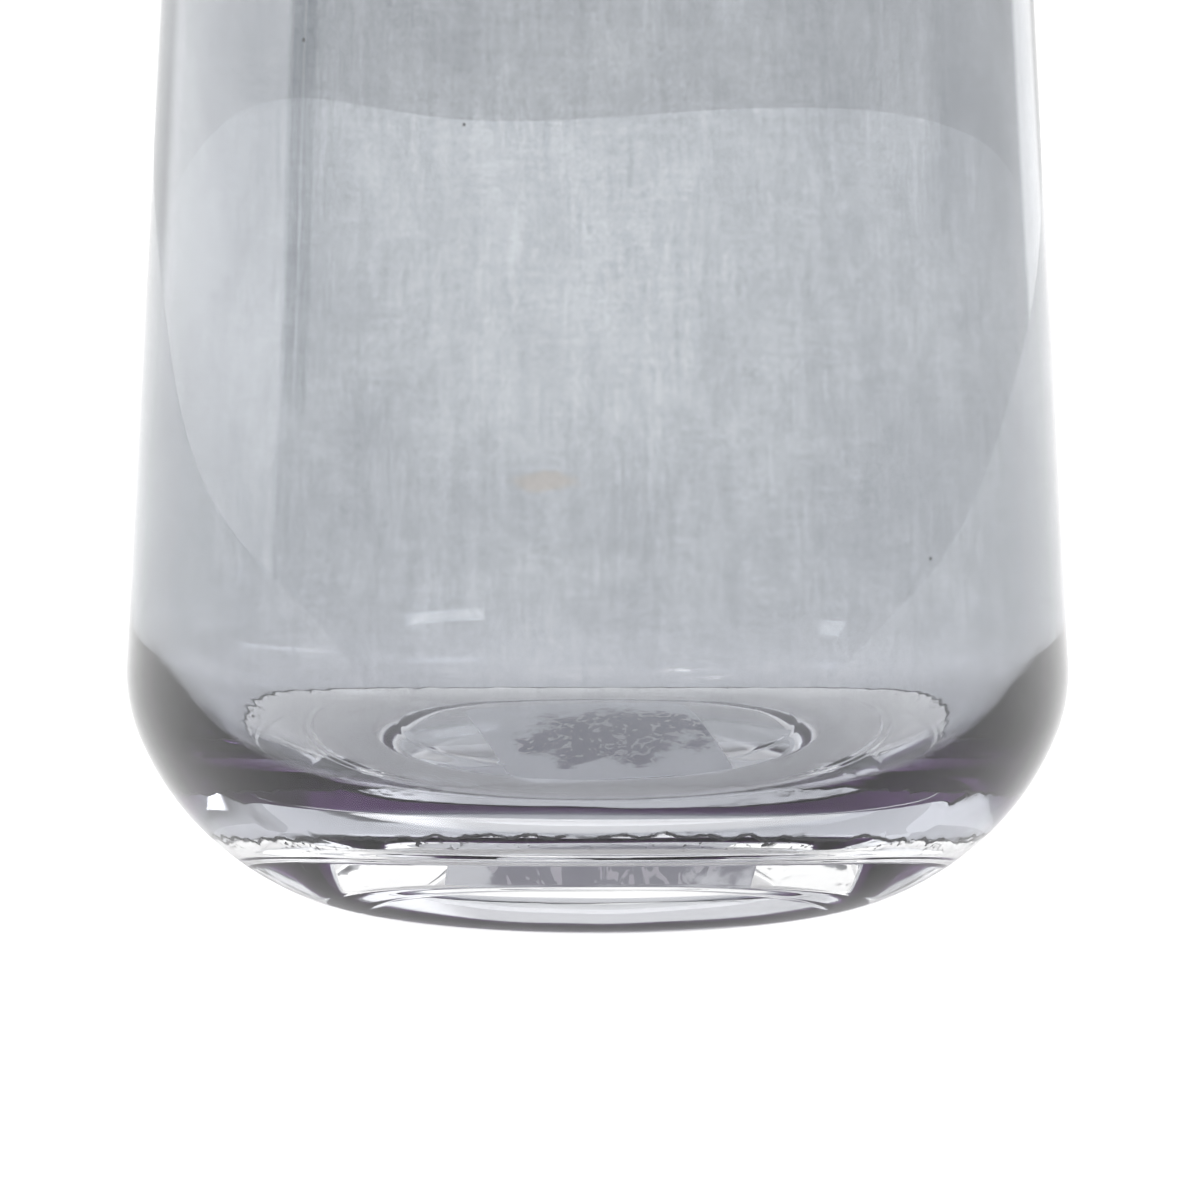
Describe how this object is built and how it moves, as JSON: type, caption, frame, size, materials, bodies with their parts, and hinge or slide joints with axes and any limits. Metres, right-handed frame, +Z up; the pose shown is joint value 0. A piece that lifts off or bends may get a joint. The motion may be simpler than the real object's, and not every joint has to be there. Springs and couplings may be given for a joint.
{
  "type": "glass vase",
  "caption": "Tall round glass vase with a slight inward taper, rounded heel, heavy clear base and a smoke-grey lustre outside; holds water and cut stems.",
  "frame": {"origin": "centre of the foot, on the plane that the vase stands on", "axes": "+Z up along the vase's axis, out of its mouth; X and Y level, with -Y towards the viewer"},
  "size_m": [0.1402, 0.1402, 0.25],
  "materials": {
    "clear_glass": "clear blown soda-lime glass, polished, with a few seeds",
    "smoke_lustre": "thin see-through smoke-grey metallic lustre, cloudy, with a faint violet sheen at steep angles",
    "label_paper": "blank white label, unevenly stuck, with small air pockets"
  },
  "bodies": {
    "root": {"glass_body": "clear_glass", "lustre_coat": "smoke_lustre", "underside_label": "label_paper"}
  },
  "joints": []
}
